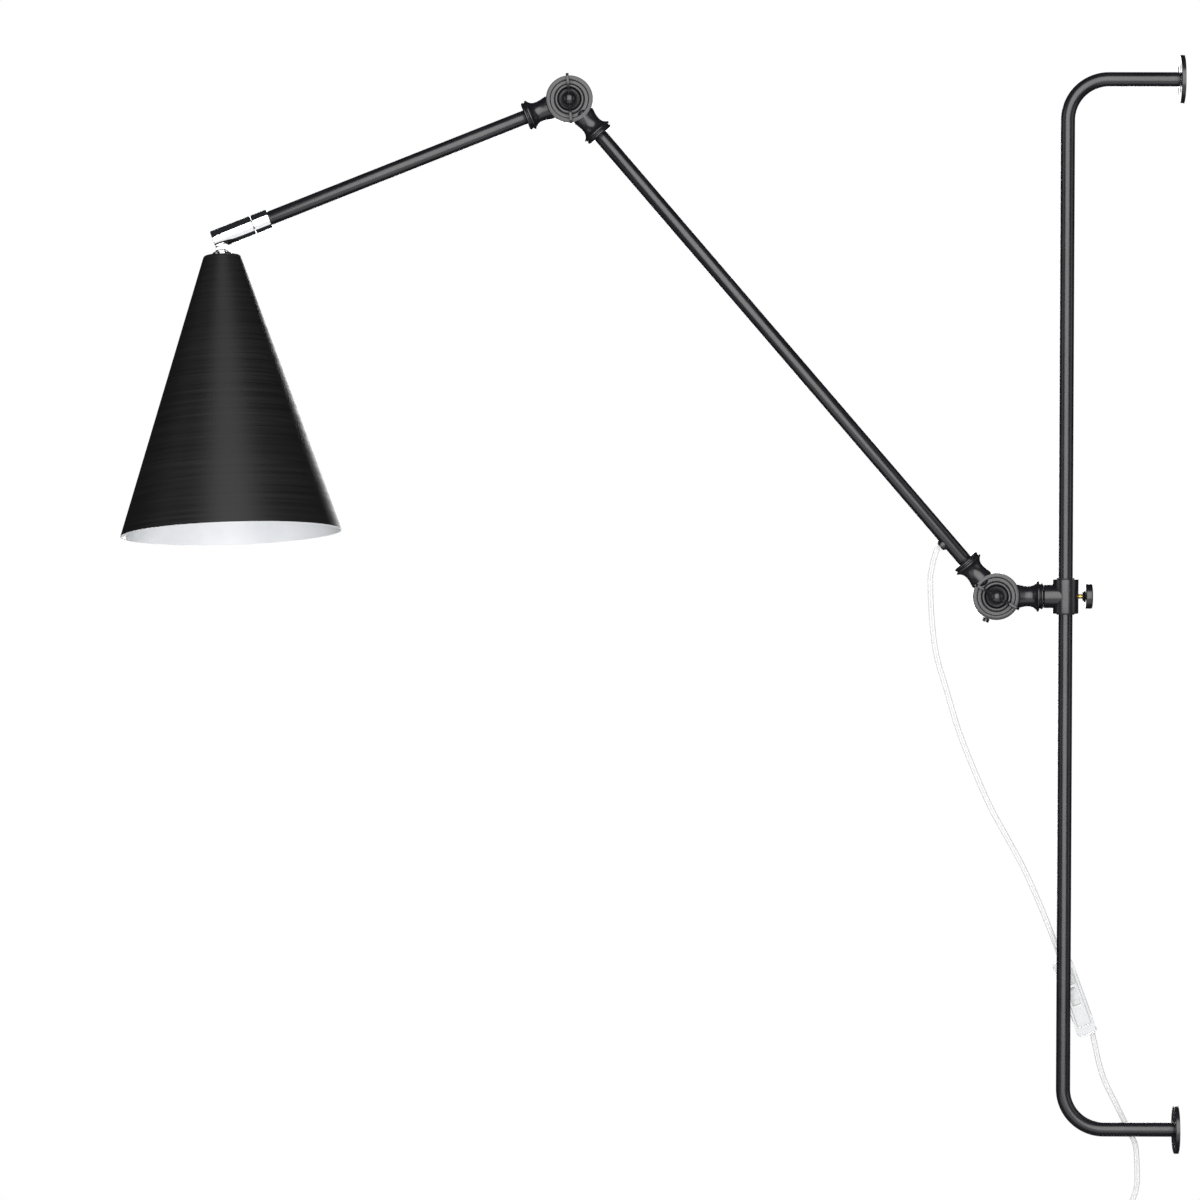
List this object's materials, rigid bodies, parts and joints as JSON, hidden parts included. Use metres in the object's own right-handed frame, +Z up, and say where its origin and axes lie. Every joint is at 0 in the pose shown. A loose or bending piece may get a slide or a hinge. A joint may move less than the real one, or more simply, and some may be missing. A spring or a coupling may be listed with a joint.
{
  "type": "swing arm wall sconce",
  "caption": "Wall lamp with a bent pole on two flanges, a sliding clamp, two jointed arms with wing nuts, a tilting cone shade and a clear cord with an inline switch and plug.",
  "frame": {"origin": "centre of the lower wall flange's back face, on the wall plane", "axes": "+Z up along the pole; +Y into the wall, so the lamp stands out towards -Y; +X is the side that the wing nuts face"},
  "size_m": [0.1983, 0.9614, 1.2322],
  "materials": {
    "black_paint": "satin powder coat",
    "shade_paint": "matt black outside, gloss white inside",
    "chrome": "polished",
    "brass": "bright",
    "steel": "zinc plated",
    "fibre": "matt",
    "clear_plastic": "clear",
    "white_plastic": "gloss",
    "black_plastic": "matt"
  },
  "bodies": {
    "wall_pole": {"pole_tube": "black_paint", "lower_wall_flange": "black_paint", "upper_wall_flange": "black_paint"},
    "pole_slider": {"collar_bush": "black_plastic", "cord_lower": "clear_plastic", "cord_coil": "clear_plastic", "cord_tie": "black_plastic", "cord_tail": "clear_plastic", "plug_strain_relief": "white_plastic", "plug_body": "white_plastic", "plug_pin_a": "steel", "plug_pin_b": "steel"},
    "clamp": {"clamp_collar": "black_paint", "collar_stud": "steel", "lower_rear_knuckle": "black_paint", "lower_stop_screw": "black_paint", "lower_friction_washer": "fibre", "lower_rear_cup_washer": "black_paint", "lower_bolt": "steel", "cord_upper": "clear_plastic", "switch_base": "clear_plastic", "switch_cover": "clear_plastic", "switch_terminal_block": "white_plastic"},
    "thumb_screw": {"thumb_screw_shaft": "brass", "thumb_screw_knob": "black_paint"},
    "long_arm": {"lower_front_knuckle": "black_paint", "lower_cup_washer": "black_paint", "long_arm_tube": "black_paint", "long_arm_lead": "white_plastic", "cord_gland": "black_paint", "gland_grommet": "clear_plastic", "upper_front_knuckle": "black_paint", "upper_cup_washer": "black_paint"},
    "lower_wing_nut": {"lower_wing_nut": "black_paint"},
    "forearm": {"upper_friction_washer": "fibre", "upper_rear_knuckle": "black_paint", "upper_rear_cup_washer": "black_paint", "upper_bolt": "steel", "forearm_tube": "black_paint", "forearm_lead": "white_plastic", "swivel_collar": "chrome", "swivel_nipple": "steel"},
    "upper_wing_nut": {"upper_wing_nut": "black_paint"},
    "swivel_head": {"swivel_body": "chrome", "tilt_pin": "steel"},
    "lamp_head": {"swivel_tongue": "chrome", "shade_nipple": "steel", "shade": "shade_paint", "shade_lock_nut": "steel", "lampholder_cap": "black_plastic", "lampholder_sleeve": "black_plastic", "lampholder_contact": "white_plastic"},
    "switch_rocker": {"switch_rocker": "white_plastic"}
  },
  "joints": [
    {"name": "collar_slide", "type": "slide", "parent": "wall_pole", "child": "pole_slider", "axis": [0, 0, 1], "range_m": [-0.42, 0.41]},
    {"name": "collar_swivel", "type": "hinge", "parent": "pole_slider", "child": "clamp", "pos_m": [0, -0.105, 0.487], "axis": [0, 0, 1], "range_deg": [-90, 90], "deforming": ["cord_lower"]},
    {"name": "thumb_screw_turn", "type": "hinge", "parent": "clamp", "child": "thumb_screw", "pos_m": [0, -0.09, 0.487], "axis": [0, 1, 0], "continuous": true},
    {"name": "lower_elbow", "type": "hinge", "parent": "clamp", "child": "long_arm", "pos_m": [0, -0.1685, 0.487], "axis": [1, 0, 0], "range_deg": [-40, 80], "deforming": ["cord_upper"]},
    {"name": "lower_wing_nut_turn", "type": "hinge", "parent": "clamp", "child": "lower_wing_nut", "pos_m": [0.0165, -0.1685, 0.487], "axis": [1, 0, 0], "continuous": true},
    {"name": "upper_elbow", "type": "hinge", "parent": "long_arm", "child": "forearm", "pos_m": [0, -0.55696, 0.93703], "axis": [-1, 0, 0], "range_deg": [-48, 189]},
    {"name": "upper_wing_nut_turn", "type": "hinge", "parent": "forearm", "child": "upper_wing_nut", "pos_m": [0.0165, -0.55696, 0.93703], "axis": [1, 0, 0], "continuous": true},
    {"name": "head_roll", "type": "hinge", "parent": "forearm", "child": "swivel_head", "pos_m": [0, -0.87308, 0.81187], "axis": [0, -0.9298, -0.3681], "range_deg": [-170, 170]},
    {"name": "shade_tilt", "type": "hinge", "parent": "swivel_head", "child": "lamp_head", "pos_m": [0, -0.87308, 0.81187], "axis": [0.9914, -0.048, 0.1214], "range_deg": [-70.7, 18.8]},
    {"name": "switch_rock", "type": "hinge", "parent": "clamp", "child": "switch_rocker", "pos_m": [-0.0225, -0.09339, 0.11897], "axis": [0, 0.9397, 0.342], "range_deg": [0, 12]}
  ]
}
